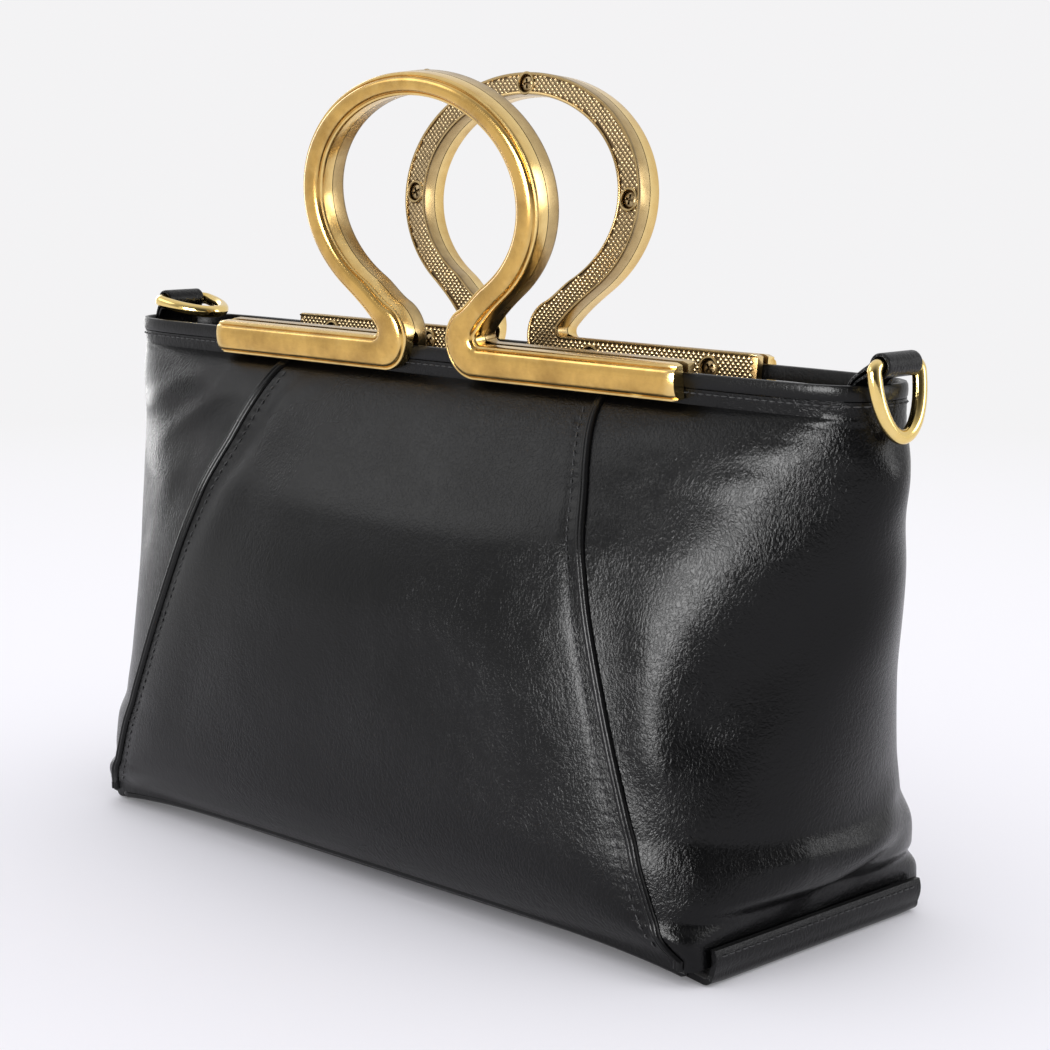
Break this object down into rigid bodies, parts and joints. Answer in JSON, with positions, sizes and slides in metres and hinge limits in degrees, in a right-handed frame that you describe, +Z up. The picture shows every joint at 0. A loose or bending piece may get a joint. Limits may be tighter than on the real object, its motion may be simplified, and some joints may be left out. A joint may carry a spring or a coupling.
{
  "type": "ring handle bag",
  "caption": "Black leather handbag, narrow at the rim and wide at the base, with brass ring handles on bars clamped to its rim and a small D-ring on a leather tab at each end.",
  "frame": {"origin": "on the surface that the bag stands on, under the middle of its base", "axes": "+X along the bag's length, to the right seen from the front; -Y to the front; +Z up"},
  "size_m": [0.3658, 0.1363, 0.2761],
  "materials": {
    "leather": "black, glossy, fine grain",
    "leather_edge": "black, satin, folded and stitched edge",
    "brass": "polished warm brass with a light patina",
    "dark_brass": "antiqued brass, finely knurled",
    "gold": "bright polished gold-coloured brass"
  },
  "bodies": {
    "bag": {"front_panel": "leather", "back_panel": "leather", "gusset_left": "leather", "gusset_right": "leather", "base_panel": "leather", "strap_tab_left": "leather", "strap_tab_right": "leather", "rim_band": "leather_edge", "base_welt_front": "leather_edge", "base_welt_back": "leather_edge", "seam_piping_front_left": "leather_edge", "seam_piping_front_right": "leather_edge", "seam_piping_back_left": "leather_edge", "seam_piping_back_right": "leather_edge", "handle_front_shell": "brass", "handle_front_plate": "dark_brass", "screw_front_1": "dark_brass", "screw_front_2": "dark_brass", "screw_front_3": "dark_brass", "screw_front_4": "dark_brass", "screw_front_5": "dark_brass", "screw_front_6": "dark_brass", "screw_front_7": "dark_brass", "handle_rear_shell": "brass", "handle_rear_plate": "dark_brass", "screw_rear_1": "dark_brass", "screw_rear_2": "dark_brass", "screw_rear_3": "dark_brass", "screw_rear_4": "dark_brass", "screw_rear_5": "dark_brass", "screw_rear_6": "dark_brass", "screw_rear_7": "dark_brass"},
    "ring_left": {"d_ring_left": "gold"},
    "ring_right": {"d_ring_right": "gold"}
  },
  "joints": [
    {"name": "ring_left_swing", "type": "hinge", "parent": "bag", "child": "ring_left", "pos_m": [-0.166, -0.006, 0.1893], "axis": [0, -1, 0], "range_deg": [-75, 204]},
    {"name": "ring_right_swing", "type": "hinge", "parent": "bag", "child": "ring_right", "pos_m": [0.18, -0.009, 0.1893], "axis": [0, -1, 0], "range_deg": [0, 270]}
  ]
}
